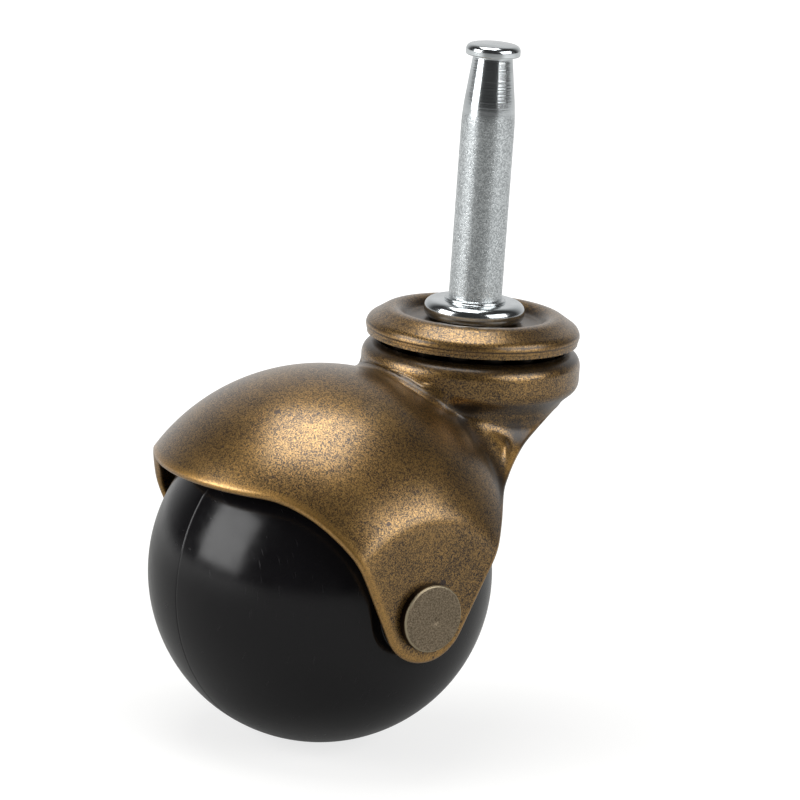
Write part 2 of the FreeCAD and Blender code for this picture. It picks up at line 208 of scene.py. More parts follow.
class CastorFinish(bpy.types.PropertyGroup):
    """Colours of the finishes."""
    brass: colour("Brass", "Rubbed parts of the antique brass", "#b58d4e")
    patina: colour("Patina", "Dark parts of the antique brass", "#2f2113")
    # This colour also paints a highlight along the hood skirt's ridge
    rubbed_and_highlight: colour("Rubbed edge", "Cut edges, where the patina is worn through", "#c2954f")
    # Painted shade in creases, the valley, under the neck and cap and at the cap's hem, with some patina
    shade_and_patina: colour("Stain", "Dark patina left in recesses", "#1f1916")
    mark: colour("Mark", "Specks and marks of wear on the brass", "#2b1c1c")
    zinc: colour("Zinc", "Bright zinc plate", "#e0e5e7")
    zinc_dull: colour("Dull zinc", "Duller grains of the zinc plate", "#adb2b4")
    plastic: colour("Ball", "Black moulded plastic of the ball", "#121113")
    scuff: colour("Scuff", "Scuffs and dust on the ball", "#1f1e20")
    pewter: colour("Pewter", "Lighter grains of the rivet's plated face", "#a4947d")
    pewter_dark: colour("Dark pewter", "Darker grains of the rivet's plated face", "#5c5243")
    pewter_rim: colour("Pewter rim", "Worn rim of the rivet's heads", "#b9ac90")
    # Painted shade on the sides of the rivet's heads
    rivet_side_shade: colour("Pewter side", "Blackened side of the rivet's heads", "#241a12")
    # Steel and grease are coloured dark as painted shade in the gap under the swivel cap
    steel: colour("Bearing steel", "Steel of the bearing balls, washer and sleeve", "#3f3c38")
    grease_and_shade: colour("Grease", "Dark grease on that steel", "#0d0b09")


class CastorStage(bpy.types.PropertyGroup):
    """Camera and floor."""
    azimuth: angle("Azimuth", "Camera's turn about the stem", -36.86)
    elevation: angle("Elevation", "Camera's height above the horizon", 12.94)
    roll: angle("Roll", "Camera's tilt about its own axis", 4.04)
    distance: length("Distance", "Camera's distance from the stem's foot", 700 * MM)
    across: length("Across", "Camera's shift to its right", -11.18 * MM)
    upward: length("Upward", "Camera's shift upwards", -15.28 * MM)
    lens: FloatProperty(name="Lens", description="Focal length in mm on a 36 mm sensor", default=211.58)
    floor: colour("Floor", "Grey floor under the white glow", "#8e8e8c")


def node(tree, kind, inputs=None, **settings):
    """Adds one node, with its settings and its inputs' values or links."""
    made = tree.nodes.new(kind)
    for key, value in settings.items():
        setattr(made, key, value)
    for key, value in (inputs or {}).items():
        if isinstance(value, bpy.types.NodeSocket):
            tree.links.new(value, made.inputs[key])
        else:
            made.inputs[key].default_value = value
    return made


def new_material(name):
    """An empty node material with an output, as (material, tree, output, place on the object)."""
    material = bpy.data.materials.new(name)
    material.use_nodes = True
    tree = material.node_tree
    tree.nodes.clear()
    output = node(tree, "ShaderNodeOutputMaterial")
    return material, tree, output, node(tree, "ShaderNodeTexCoord").outputs["Object"]


def grid_piece(name, points, close_rows=False, values=None):
    """Mesh object from a grid of points (rows, columns, 3) whose columns close on themselves.

    With close_rows the last row joins the first one, otherwise a row that is one single point is a pole
    and its quads become triangles. Faces are turned so that the enclosed volume is positive.
    """
    rows, columns = points.shape[:2]
    index = np.arange(rows * columns).reshape(rows, columns)
    pole = np.ptp(points, axis=1).max(axis=1) < 1e-9
    index[pole] = index[pole][:, :1]
    below = np.roll(index, -1, axis=0) if close_rows else index[1:]
    above = index if close_rows else index[:-1]
    quads = np.stack([above, below, np.roll(below, -1, 1), np.roll(above, -1, 1)], axis=-1).reshape(-1, 4)
    flat = points.reshape(-1, 3)
    first, second, third, fourth = np.moveaxis(flat[quads], 1, 0)
    volume = (np.cross(second, third) * first + np.cross(third, fourth) * first).sum()
    if volume < 0:
        quads = quads[:, ::-1]
    keep = np.stack([quads[:, k] != quads[:, (k + 1) % 4] for k in range(4)], axis=1)
    loops = quads[keep]
    total = keep.sum(axis=1)
    used, loops = np.unique(loops, return_inverse=True)
    mesh = bpy.data.meshes.new(name)
    mesh.vertices.add(len(used))
    mesh.vertices.foreach_set("co", flat[used].astype(np.float32).ravel())
    mesh.loops.add(len(loops))
    mesh.loops.foreach_set("vertex_index", loops.astype(np.int32).ravel())
    mesh.polygons.add(len(total))
    mesh.polygons.foreach_set("loop_start", (np.cumsum(total) - total).astype(np.int32))
    mesh.polygons.foreach_set("use_smooth", np.ones(len(total), dtype=bool))
    for key, value in (values or {}).items():
        layer = mesh.attributes.new(key, "FLOAT", "POINT")
        layer.data.foreach_set("value", value.reshape(-1)[used].astype(np.float32))
    mesh.update(calc_edges=True)
    mesh.validate()
    piece = bpy.data.objects.new(name, mesh)
    bpy.context.scene.collection.objects.link(piece)
    return piece


def settle(piece, body, slot, material, *nodes):
    """The piece rides on its body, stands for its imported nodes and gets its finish."""
    piece.data.materials.append(material)
    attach(piece, body)
    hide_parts(*nodes)


def rounded_path(corners, rounds, step):
    """Dense polyline through corners (n, 2), each corner replaced by an arc of its own radius.

    At a corner the arc touches both legs at radius times the tangent of half the turn. Straight runs and
    arcs are sampled at most one step apart, arcs also at least every 12 degrees.
    """
    corners = np.asarray(corners, float)
    path = [corners[:1]]
    for before, here, after, radius in zip(corners[:-2], corners[1:-1], corners[2:], rounds[1:-1]):
        into = (here - before) / np.linalg.norm(here - before)
        out = (after - here) / np.linalg.norm(after - here)
        turn = math.atan2(into[0] * out[1] - into[1] * out[0], into @ out)
        if radius <= 0 or abs(turn) < 1e-6:
            path.append(here[None])
            continue
        side = math.copysign(1.0, turn)
        start = here - into * radius * math.tan(abs(turn) / 2)
        centre = start + side * radius * np.array([-into[1], into[0]])
        count = max(3, math.ceil(abs(turn) / math.radians(12)), math.ceil(radius * abs(turn) / step))
        sweep = np.linspace(0, turn, count + 1)
        spoke = start - centre
        path.append(centre + np.stack([spoke[0] * np.cos(sweep) - spoke[1] * np.sin(sweep),
                                       spoke[0] * np.sin(sweep) + spoke[1] * np.cos(sweep)], axis=1))
    path.append(corners[-1:])
    path = np.concatenate(path)
    legs = np.linalg.norm(np.diff(path, axis=0), axis=1)
    pieces = np.maximum(1, np.ceil(legs / step)).astype(int)
    whole = np.repeat(np.arange(len(legs)), pieces)
    within = np.arange(len(whole)) - np.repeat(np.cumsum(pieces) - pieces, pieces)
    share = (within / pieces[whole])[:, None]
    return np.concatenate([path[whole] * (1 - share) + path[whole + 1] * share, path[-1:]])


def turned_grid(profile, columns):
    """Surface of revolution about Z: (radius, height) becomes (radius cos a, radius sin a, height)."""
    turn = np.arange(columns) * 2 * math.pi / columns
    radius, height = profile[:, :1], profile[:, 1:]
    return np.stack([radius * np.cos(turn), radius * np.sin(turn), height + 0 * turn], axis=-1)


def axle_grid(profile, columns):
    """Surface of revolution about the axle: (radius, y) is turned in XZ about the ball's centre."""
    turn = np.arange(columns) * 2 * math.pi / columns
    radius, along = profile[:, :1], profile[:, 1:]
    spokes = np.stack([radius * np.cos(turn), along + 0 * turn, radius * np.sin(turn)], axis=-1)
    return spokes + ball_centre


def blend_in(low, high, value):
    """Smooth step from 0 at low to 1 at high."""
    t = np.clip((value - low) / (high - low), 0, 1)
    return t * t * (3 - 2 * t)


def bell(distance, middle, width):
    """Bell curve of height 1: e to the minus square of the distance from the middle, in widths."""
    return np.exp(-((distance - middle) / width) ** 2)


def melt(first, second, width):
    """Smaller of two distances, rounded off where they differ by less than the width."""
    near = np.maximum(width - np.abs(first - second), 0) / width
    return np.minimum(first, second) - near * near * width / 4


def unit(vectors):
    """Vectors divided by their lengths."""
    return vectors / np.linalg.norm(vectors, axis=-1, keepdims=True)


class HoodForm:
    """The hood's outer face as distances to three simple bodies that melt into each other."""

    def __init__(self, size):
        self.size = size
        self.top = hood_roof
        self.rim_radius = size.wall - size.bend
        self.rim_top = self.top - size.bend
        self.rim_low = self.rim_top - size.wall_height
        slope = size.belly
        self.cone = np.array([math.cos(slope), -math.sin(slope)])
        touch = self.rim_radius + size.bend * math.cos(slope)
        touch_z = self.rim_low - size.bend * math.sin(slope)
        self.waist_z = touch_z - (touch - size.waist) / math.tan(slope)

    def dome(self, p):
        """Sphere and two flat ears with a rounded shoulder: distance to a smaller core less the rounding."""
        s = self.size
        core = s.dome - s.shoulder
        core_y = ear_face - s.shoulder
        core_rho = math.sqrt(core ** 2 - core_y ** 2)
        q = p - ball_centre
        rho, side = np.hypot(q[..., 0], q[..., 2]), np.abs(q[..., 1])
        ball = np.hypot(rho, side) - core
        edge = np.hypot(rho - core_rho, side - core_y)
        on_ball = side * core_rho <= rho * core_y
        return np.where(on_ball, ball, np.where(rho < core_rho, side - core_y, edge)) - s.shoulder

    def skirt(self, p):
        """Two flared flat sides joined by a cone at the back, cut flat on top and at the foot and sloping
        in front, with the cuts rounded over."""
        s = self.size
        top = self.waist_z + s.skirt_rise
        reach = np.hypot(np.maximum(p[..., 0], 0), p[..., 1])
        drop = self.waist_z - p[..., 2]
        side = (reach - s.waist) * math.cos(s.skirt_flare) - drop * math.sin(s.skirt_flare)
        ends = np.maximum(p[..., 2] - top, ball_centre[2] + s.skirt_foot - p[..., 2])
        front = (-s.skirt_reach - p[..., 0] - (top - p[..., 2])) * math.sqrt(0.5)
        rounded = -melt(-side, -front, s.front_round)
        return -melt(-rounded, -ends, s.end_round)

    def neck(self, p):
        """Round cup: distance to a core of roof, wall and cone, less the bend's radius."""
        r, z = np.hypot(p[..., 0], p[..., 1]) - self.rim_radius, p[..., 2]
        over, below = z - self.rim_top, z - self.rim_low
        cone = r * self.cone[0] + below * self.cone[1]
        along = r * self.cone[1] - below * self.cone[0]
        corner = np.where(along > 0, cone, np.hypot(r, below))
        outside = np.where(below > 0, np.hypot(np.maximum(r, 0), np.maximum(over, 0)), corner)
        inside = np.maximum(np.maximum(over, r), cone)
        return np.where(inside < 0, inside, outside) - self.size.bend

    def skin(self, p):
        """Dome and skirt."""
        return melt(self.dome(p), self.skirt(p), self.size.valley)

    def whole(self, p):
        """Skin and neck, with a wider blend between them at the sides, over the skirt."""
        x = p[..., 0]
        at_sides = blend_in(-10 * MM, -3 * MM, x) * blend_in(8 * MM, 1 * MM, x)
        width = self.size.crease + (self.size.waist_fill - self.size.crease) * at_sides
        return melt(self.skin(p), self.neck(p), width)

    def slope(self, p):
        """Gradient of the whole form by central differences."""
        step = 1e-6
        shifts = np.eye(3) * step
        return np.stack([self.whole(p + d) - self.whole(p - d) for d in shifts], axis=-1) / (2 * step)

    def settle(self, p, rounds=5):
        """Moves points along the gradient until they lie on the face."""
        for _ in range(rounds):
            g = self.slope(p)
            p = p - (self.whole(p) / (g * g).sum(-1))[..., None] * g
        return p


def bezier(poles, count):
    """Cubic Bezier points from its four poles."""
    t = np.linspace(0, 1, count)[:, None]
    a, b, c, d = np.asarray(poles, float)
    return (1 - t) ** 3 * a + 3 * t * (1 - t) ** 2 * b + 3 * t * t * (1 - t) * c + t ** 3 * d


def halved(low, high, is_inside, rounds=48):
    """Bisection on whole arrays: the place between low and high where is_inside ends."""
    for _ in range(rounds):
        middle = (low + high) / 2
        inside = is_inside(middle)
        low, high = np.where(inside, middle, low), np.where(inside, high, middle)
    return (low + high) / 2


def run_along(points):
    """Distance along a polyline at each of its points."""
    return np.concatenate([[0], np.cumsum(np.linalg.norm(np.diff(points, axis=0), axis=1))])


def trim_edge(form):
    """Trimmed edge of one side, from the front middle over the ear to the back middle, evenly spaced.

    The side view is a flat lip, a sweep, an ear with straight flanks and a round end, and an arch up to the
    neck. Each point of it is pushed out along Y until it lies on the hood's face.
    """
    s = form.size
    flank = s.ear_flank
    down = np.array([math.sin(flank), -math.cos(flank)])
    front_low = s.ear_end * np.array([-math.cos(flank), -math.sin(flank)])
    front_high = front_low - down * s.ear_flank_length
    back_high = front_high * (-1, 1)
    rise = down * (1, -1)
    lip_end = np.array([-s.lip_reach, s.lip_rise])
    lip_ring = math.sqrt(s.dome ** 2 - s.lip_rise ** 2)
    lip_turn = np.linspace(0, math.acos(s.lip_reach / lip_ring), 200)
    lip = np.stack([-lip_ring * np.cos(lip_turn), 0 * lip_turn + s.lip_rise], axis=1)
    sweep_pole = front_high - down * s.sweep_handle
    sweep = bezier([lip_end, lip_end + (s.lip_handle, 0), sweep_pole, front_high], 400)
    end_turn = np.linspace(math.pi + flank, 2 * math.pi - flank, 300)
    end = s.ear_end * np.stack([np.cos(end_turn), np.sin(end_turn)], axis=1)
    middle = ball_centre[[0, 2]]
    arch_end = np.array([s.waist, form.top - s.arch_drop]) - middle
    arch = bezier([back_high, back_high + rise * s.arch_flank, arch_end - (s.arch_neck, 0), arch_end], 500)
    back_z = arch_end[1] + middle[1]
    back_ring = float(halved(8 * MM, 25 * MM, lambda x: form.whole(np.array([x, 0, back_z])) < 0))
    back_turn = np.linspace(math.acos(s.waist / back_ring), 0, 80)
    back = np.stack([back_ring * np.cos(back_turn), 0 * back_turn + back_z], axis=1) - middle
    outline = np.concatenate([lip, sweep, end, arch, back]) + middle

    def at(side):
        return np.stack([outline[:, 0], -side, outline[:, 1]], axis=1)

    widest = np.full(len(outline), 40 * MM)
    edge = at(halved(0 * widest, widest, lambda side: form.whole(at(side)) < 0))
    run = run_along(edge)
    even = np.linspace(0, run[-1], s.columns + 1)
    edge = np.stack([np.interp(even, run, edge[:, k]) for k in range(3)], axis=1)
    edge[[0, -1], 1] = 0
    return edge


def mirrored(grid, flip=(1, -1, 1)):
    """Closes a half grid whose first and last columns lie in the plane y = 0."""
    return np.concatenate([grid, (grid * flip)[:, -2:0:-1]], axis=1)


def neck_profile(form):
    """(radius, height) along the neck, as the roof from the stem's hole over the ball groove, and the side
    from the roof's rim over the wall down the cone."""
    s = form.size
    balls = centre_of("bearing_ball_01")
    pitch, ball_z = float(np.hypot(balls[0], balls[1])), float(balls[2])
    half = math.sqrt(s.groove ** 2 - (ball_z - form.top) ** 2)
    turn = math.asin(half / s.groove)
    swing = np.linspace(-turn, turn, 25)
    hollow = np.stack([pitch + s.groove * np.sin(swing), ball_z - s.groove * np.cos(swing)], axis=1)
    floor = np.stack([np.linspace(s.hole, pitch - half, 9)[:-1], np.full(8, form.top)], axis=1)

    def rounded(start, stop, height):
        turn = np.linspace(start, stop, BEND_POINTS)
        return np.stack([form.rim_radius + s.bend * np.cos(turn), height + s.bend * np.sin(turn)], axis=1)

    top = rounded(math.pi / 2, 0, form.rim_top)
    low = rounded(0, -s.belly, form.rim_low)
    far = low[-1] - s.belly_length * np.array([math.sin(s.belly), math.cos(s.belly)])
    cone = low[-1] + (far - low[-1]) * np.linspace(0, 1, 200)[1:, None]
    return np.concatenate([floor, hollow]), np.concatenate([top, low, cone])


def pressed_folds(form, p, turn):
    """Height of the folds that pressing leaves in the sheet beside its creases.

    Beside the neck's crease on the dome a sharp ridge is followed by a shallow furrow, and on the skirt a
    round ridge runs along the valley. Each is a bell curve over the distance from the body that it follows.
    """
    s = form.size
    neck, dome = form.neck(p), form.dome(p)
    degrees = np.degrees(turn)
    front = blend_in(142, 154, degrees) * blend_in(174, 164, degrees)
    fold = s.fold_ridge * bell(neck, 0.8 * MM, 0.3 * MM) - s.fold_furrow * bell(neck, 1.7 * MM, 0.45 * MM)
    on_dome = blend_in(0.4 * MM, 0.0, dome)
    ridge = s.skirt_ridge * bell(dome, 2.3 * MM, 0.8 * MM) - s.valley_groove * bell(dome, 0, 0.5 * MM)
    back = blend_in(1.5 * MM, 5 * MM, neck) * blend_in(-11 * MM, -5 * MM, p[..., 0])
    return fold * front * on_dome + ridge * back


def hood_face(form):
    """Half of the hood's outer face, from the stem's hole to the trimmed edge.

    A column runs down the neck's profile to where the skin begins, and from there to its place on the
    trimmed edge along a great arc seen from the ball's centre. The points then settle on the melted face.
    Gives the face, the number of its rows on the roof, its end at the edge and the directions off the edge.
    """
    size = form.size
    edge = trim_edge(form)
    loop = mirrored(edge[None])[0]
    along = unit(np.roll(loop, -1, 0) - np.roll(loop, 1, 0))[:size.columns + 1]
    wall_point = unit(edge * (1, 1, 0)) * size.wall + (0, 0, form.rim_low)
    off = unit(np.cross(unit(form.slope(edge)), along))
    off *= np.sign((off * (edge - wall_point)).sum(1))[:, None]
    inset = form.settle(edge - size.sheet / 2 * off)
    inset[[0, -1], 1] = 0

    turn = np.arctan2(-inset[:, 1], inset[:, 0])
    share = np.linspace(0, 1, size.columns + 1)
    fan = np.radians(np.interp(share, FAN_SHARES, FAN_DEGREES))
    turn = fan + (np.abs(turn) - fan) * blend_in(0.78, 0.85, share)
    ring = np.stack([np.cos(turn), -np.sin(turn)], axis=1)
    roof, side = neck_profile(form)

    def around(radius, height):
        return np.stack([radius * ring[:, 0], radius * ring[:, 1], height + 0 * ring[:, 0]], axis=-1)

    # Each column's knee, where it leaves the neck's profile
    run = run_along(side)

    def on_side(reach):
        return around(np.interp(reach, run, side[:, 0]), np.interp(reach, run, side[:, 1]))

    inside = form.skin(around(side[:, :1], side[:, 1:])) < 0
    inside[:BEND_POINTS * 3 // 2] = False
    reach = np.where(inside.any(axis=0), run[np.argmax(inside, axis=0)], run[-1])
    to_edge = np.interp(-inset[:, 2], -side[BEND_POINTS:, 1], run[BEND_POINTS:])
    on_neck = form.neck(inset) < form.skin(inset)
    reach = np.where(on_neck, to_edge, np.minimum(reach, run[-1]))

    # The great arc from the knee to the edge
    start, stop = unit(on_side(reach) - ball_centre), unit(inset - ball_centre)
    swing = np.arccos(np.clip((start * stop).sum(1), -1, 1))
    skin_run = np.where(on_neck, 0, swing * size.dome)
    down = np.linspace(0, 1, size.rows)[:, None] * (reach + skin_run)
    upper = on_side(np.minimum(down, reach))
    t = (np.maximum(down - reach, 0) / np.maximum(skin_run, 1e-9))[..., None]
    safe = np.maximum(swing, 1e-6)[:, None]
    ray = unit((np.sin((1 - t) * safe) * start + np.sin(t * safe) * stop) / np.sin(safe))
    far = halved(np.full(ray.shape[:2], 10 * MM), np.full(ray.shape[:2], 70 * MM),
                 lambda d: form.skin(ball_centre + d[..., None] * ray) < 0)
    lower = ball_centre + far[..., None] * ray
    body = np.where((down > reach)[..., None], lower, upper)
    body[-1] = inset
    for _ in range(14):
        between = (body[FIXED_ROWS:-2] + body[FIXED_ROWS + 2:]) / 2
        body[FIXED_ROWS + 1:-1] = form.settle(between, 2)
    body[FIXED_ROWS:-1] = form.settle(body[FIXED_ROWS:-1])
    body[:, [0, -1], 1] = 0
    clear = blend_in(0.3 * MM, 3 * MM, np.linalg.norm(body - inset, axis=-1))
    folds = pressed_folds(form, body, turn) * clear
    body = body + folds[..., None] * unit(form.slope(body))
    body[:, [0, -1], 1] = 0
    return np.concatenate([around(roof[:, :1], roof[:, 1:]), body]), len(roof), inset, off


def hood_wear_and_painted_light(form, face, inset):
    """Worn, highlight and shade shares of the outer face.

    It is worn along the trimmed edge, and a painted highlight runs along the skirt's ridge. Painted shade
    darkens the creases, the valley, the neck's belly, the neck's top under the swivel cap and the skirt's
    flat panels, which also carry some patina.
    """
    dome, neck = form.dome(face), form.neck(face)
    rubbed_and_highlight = 1 - blend_in(0, 1.1 * MM, np.linalg.norm(face - inset, axis=-1))
    on_skirt = blend_in(1.5 * MM, 4 * MM, neck) * blend_in(-11 * MM, -7 * MM, face[..., 0])
    # Painted highlight along the skirt's ridge, carried in the worn share
    ridge = on_skirt * blend_in(1.6 * MM, 2.2 * MM, dome) * blend_in(3.4 * MM, 2.6 * MM, dome)
    rubbed_and_highlight = np.maximum(rubbed_and_highlight, 0.6 * ridge)
    # Painted shade: creases, valley, belly, the neck's top under the cap, and skirt panels with some patina
    meeting = np.abs(form.skin(face) - neck) + np.abs(form.whole(face))
    valley = np.abs(dome - form.skirt(face)) + np.abs(form.skin(face))
    crease = 0.75 - 0.75 * blend_in(0, 2.0 * MM, meeting)
    trough = 0.9 - 0.9 * blend_in(0.6 * MM, 1.9 * MM, valley)
    under = form.rim_low - face[..., 2]
    belly = 0.85 * blend_in(0.9 * MM, 2.0 * MM, under) * blend_in(6.5 * MM, 3.5 * MM, under)
    belly = belly * (neck < 0.6 * MM)
    shade = 0.8 * blend_in(form.top - 1.5 * MM, form.top - 0.8 * MM, face[..., 2])
    panel = 0.95 * blend_in(3.2 * MM, 4.4 * MM, dome) * blend_in(0.3 * MM, 1.2 * MM, neck)
    return {"rubbed_and_highlight": rubbed_and_highlight, "recess": np.max([crease, trough, belly, shade, panel], axis=0)}


def hood_grid(size):
    """Closed grid of the hood, with its wear and its painted light and shade: the outer face, a full-round
    edge, and the inner face back, one sheet thickness inside along the outer face's normals, with every
    other row left out below the roof."""
    form = HoodForm(size)
    radius = size.sheet / 2
    half, roof_rows, inset, off = hood_face(form)
    face, off = mirrored(half), mirrored(off[None])[0]
    normal = unit(form.slope(face))
    top = face[:roof_rows + 3]
    across = np.cross(np.roll(top, -1, 1) - np.roll(top, 1, 1), np.gradient(top, axis=0))
    normal[:roof_rows] = unit(across * np.sign(across[..., 2:]))[:roof_rows]
    heart = face[-1] - radius * normal[-1]
    bend = np.linspace(0, math.pi, 10)[1:-1, None, None]
    rim = heart + radius * (np.cos(bend) * normal[-1] + np.sin(bend) * off)
    lining = (face - size.sheet * normal)[::-1]
    dense_rows = 30
    lining = np.concatenate([lining[:1], lining[1:-dense_rows:2], lining[-dense_rows:]])
    plain = np.zeros(lining.shape[:2])
    values = {}
    for key, value in hood_wear_and_painted_light(form, half, inset).items():
        value = mirrored(value, 1)
        values[key] = np.concatenate([value, np.repeat(value[-1:], len(rim), axis=0), plain])
    return np.concatenate([face, rim, lining]), values


def antique_brass(colours):
    """Brass-plated steel, darkened with a brown patina, worn back by rubbing and lacquered.

    The rubbing leaves bright and dark grains of about a fifth of a millimetre, worn edges show clean brass,
    and there are dark specks and a few larger marks. A light colour paints a highlight along the skirt's
    ridge, and a dark colour paints shade in the creases and hollows, with some patina on the skirt's panels.
    The clear lacquer on top reflects the surroundings softly.
    """
    material, tree, output, place = new_material("rubbed_antique_brass")
    clump = node(tree, "ShaderNodeTexNoise", {"Vector": place, "Scale": 1 / (0.3 * MM), "Detail": 2.0,
                                              "Roughness": 0.6}).outputs["Fac"]
    sand = node(tree, "ShaderNodeTexVoronoi", {"Vector": place, "Scale": 1 / (0.15 * MM)}).outputs["Color"]
    grain = node(tree, "ShaderNodeMix", {0: 0.85, 2: clump, 3: sand}).outputs[0]
    cloud = node(tree, "ShaderNodeTexNoise", {"Vector": place, "Scale": 1 / (6 * MM), "Detail": 3.0,
                                              "Roughness": 0.55}).outputs["Fac"]
    specks = node(tree, "ShaderNodeTexNoise", {"Vector": place, "Scale": 1 / (1.1 * MM),
                                               "Detail": 1.0}).outputs["Fac"]
    rubbed_and_highlight = node(tree, "ShaderNodeAttribute", attribute_name="rubbed_and_highlight").outputs["Fac"]
    recess = node(tree, "ShaderNodeAttribute", attribute_name="recess").outputs["Fac"]
    grain_share = node(tree, "ShaderNodeMapRange", {"Value": grain, "From Min": 0.25, "From Max": 0.87,
                                                    "To Min": 0.0, "To Max": 1.0}).outputs["Result"]
    cloud_share = node(tree, "ShaderNodeMapRange", {"Value": cloud, "From Min": 0.3, "From Max": 0.7,
                                                    "To Min": -0.12, "To Max": 0.12}).outputs["Result"]
    grained = node(tree, "ShaderNodeMath", {0: grain_share, 1: cloud_share}, operation="ADD",
                   use_clamp=True).outputs[0]
    bared = node(tree, "ShaderNodeMapRange", {"Value": grained, "To Min": 0.45,
                                              "To Max": 1.0}).outputs["Result"]
    # Worn edges, and the painted highlight on the skirt's ridge, take the light edge colour
    worn = node(tree, "ShaderNodeMath", {0: rubbed_and_highlight, 1: bared}, operation="MULTIPLY").outputs[0]
    # Painted shade, with some patina: the recess share darkens towards this dark colour in blotches
    shade_and_patina_blotches = node(tree, "ShaderNodeMapRange", {"Value": cloud, "From Min": 0.36, "From Max": 0.6,
                                                "To Min": 0.55, "To Max": 1.0}).outputs["Result"]
    shade_and_patina_share = node(tree, "ShaderNodeMath", {0: recess, 1: shade_and_patina_blotches}, operation="MULTIPLY").outputs[0]
    body = node(tree, "ShaderNodeMix", {0: grained, 6: colours.patina, 7: colours.brass},
                data_type="RGBA").outputs[2]
    edged = node(tree, "ShaderNodeMix", {0: worn, 6: body, 7: colours.rubbed_and_highlight}, data_type="RGBA").outputs[2]
    hollow = node(tree, "ShaderNodeMix", {0: shade_and_patina_share, 6: edged, 7: colours.shade_and_patina},
                  data_type="RGBA").outputs[2]
    marked = node(tree, "ShaderNodeMapRange", {"Value": specks, "From Min": 0.75, "From Max": 0.8,
                                               "To Min": 0.0, "To Max": 0.8}).outputs["Result"]
    for spot, radius in WEAR_MARKS:
        centre = tuple(value * MM for value in spot)
        away = node(tree, "ShaderNodeVectorMath", {0: place, 1: centre},
                    operation="DISTANCE").outputs["Value"]
        ragged = node(tree, "ShaderNodeMath", {0: clump, 1: -radius * MM, 2: away},
                      operation="MULTIPLY_ADD").outputs[0]
        mark = node(tree, "ShaderNodeMapRange", {"Value": ragged, "From Min": 0.2 * radius * MM,
                                                 "From Max": 0.5 * radius * MM, "To Min": 0.9,
                                                 "To Max": 0.0}).outputs["Result"]
        marked = node(tree, "ShaderNodeMath", {0: marked, 1: mark}, operation="MAXIMUM").outputs[0]
    tint = node(tree, "ShaderNodeMix", {0: marked, 6: hollow, 7: colours.mark}, data_type="RGBA").outputs[2]
    polish = node(tree, "ShaderNodeMapRange", {"Value": grain, "From Min": 0.3, "From Max": 0.7,
                                               "To Min": 0.5, "To Max": 0.36}).outputs["Result"]
    gloss = node(tree, "ShaderNodeMix", {0: shade_and_patina_share, 2: polish, 3: 0.62}).outputs[0]
    bump = node(tree, "ShaderNodeBump", {"Height": grain, "Strength": 0.3,
                                         "Distance": 0.02 * MM}).outputs["Normal"]
    shader = node(tree, "ShaderNodeBsdfPrincipled", {"Base Color": tint, "Metallic": 1.0,
                                                     "Roughness": gloss, "Normal": bump,
                                                     "Coat Weight": 1.0, "Coat Roughness": 0.28})
    tree.links.new(shader.outputs[0], output.inputs["Surface"])
    return material


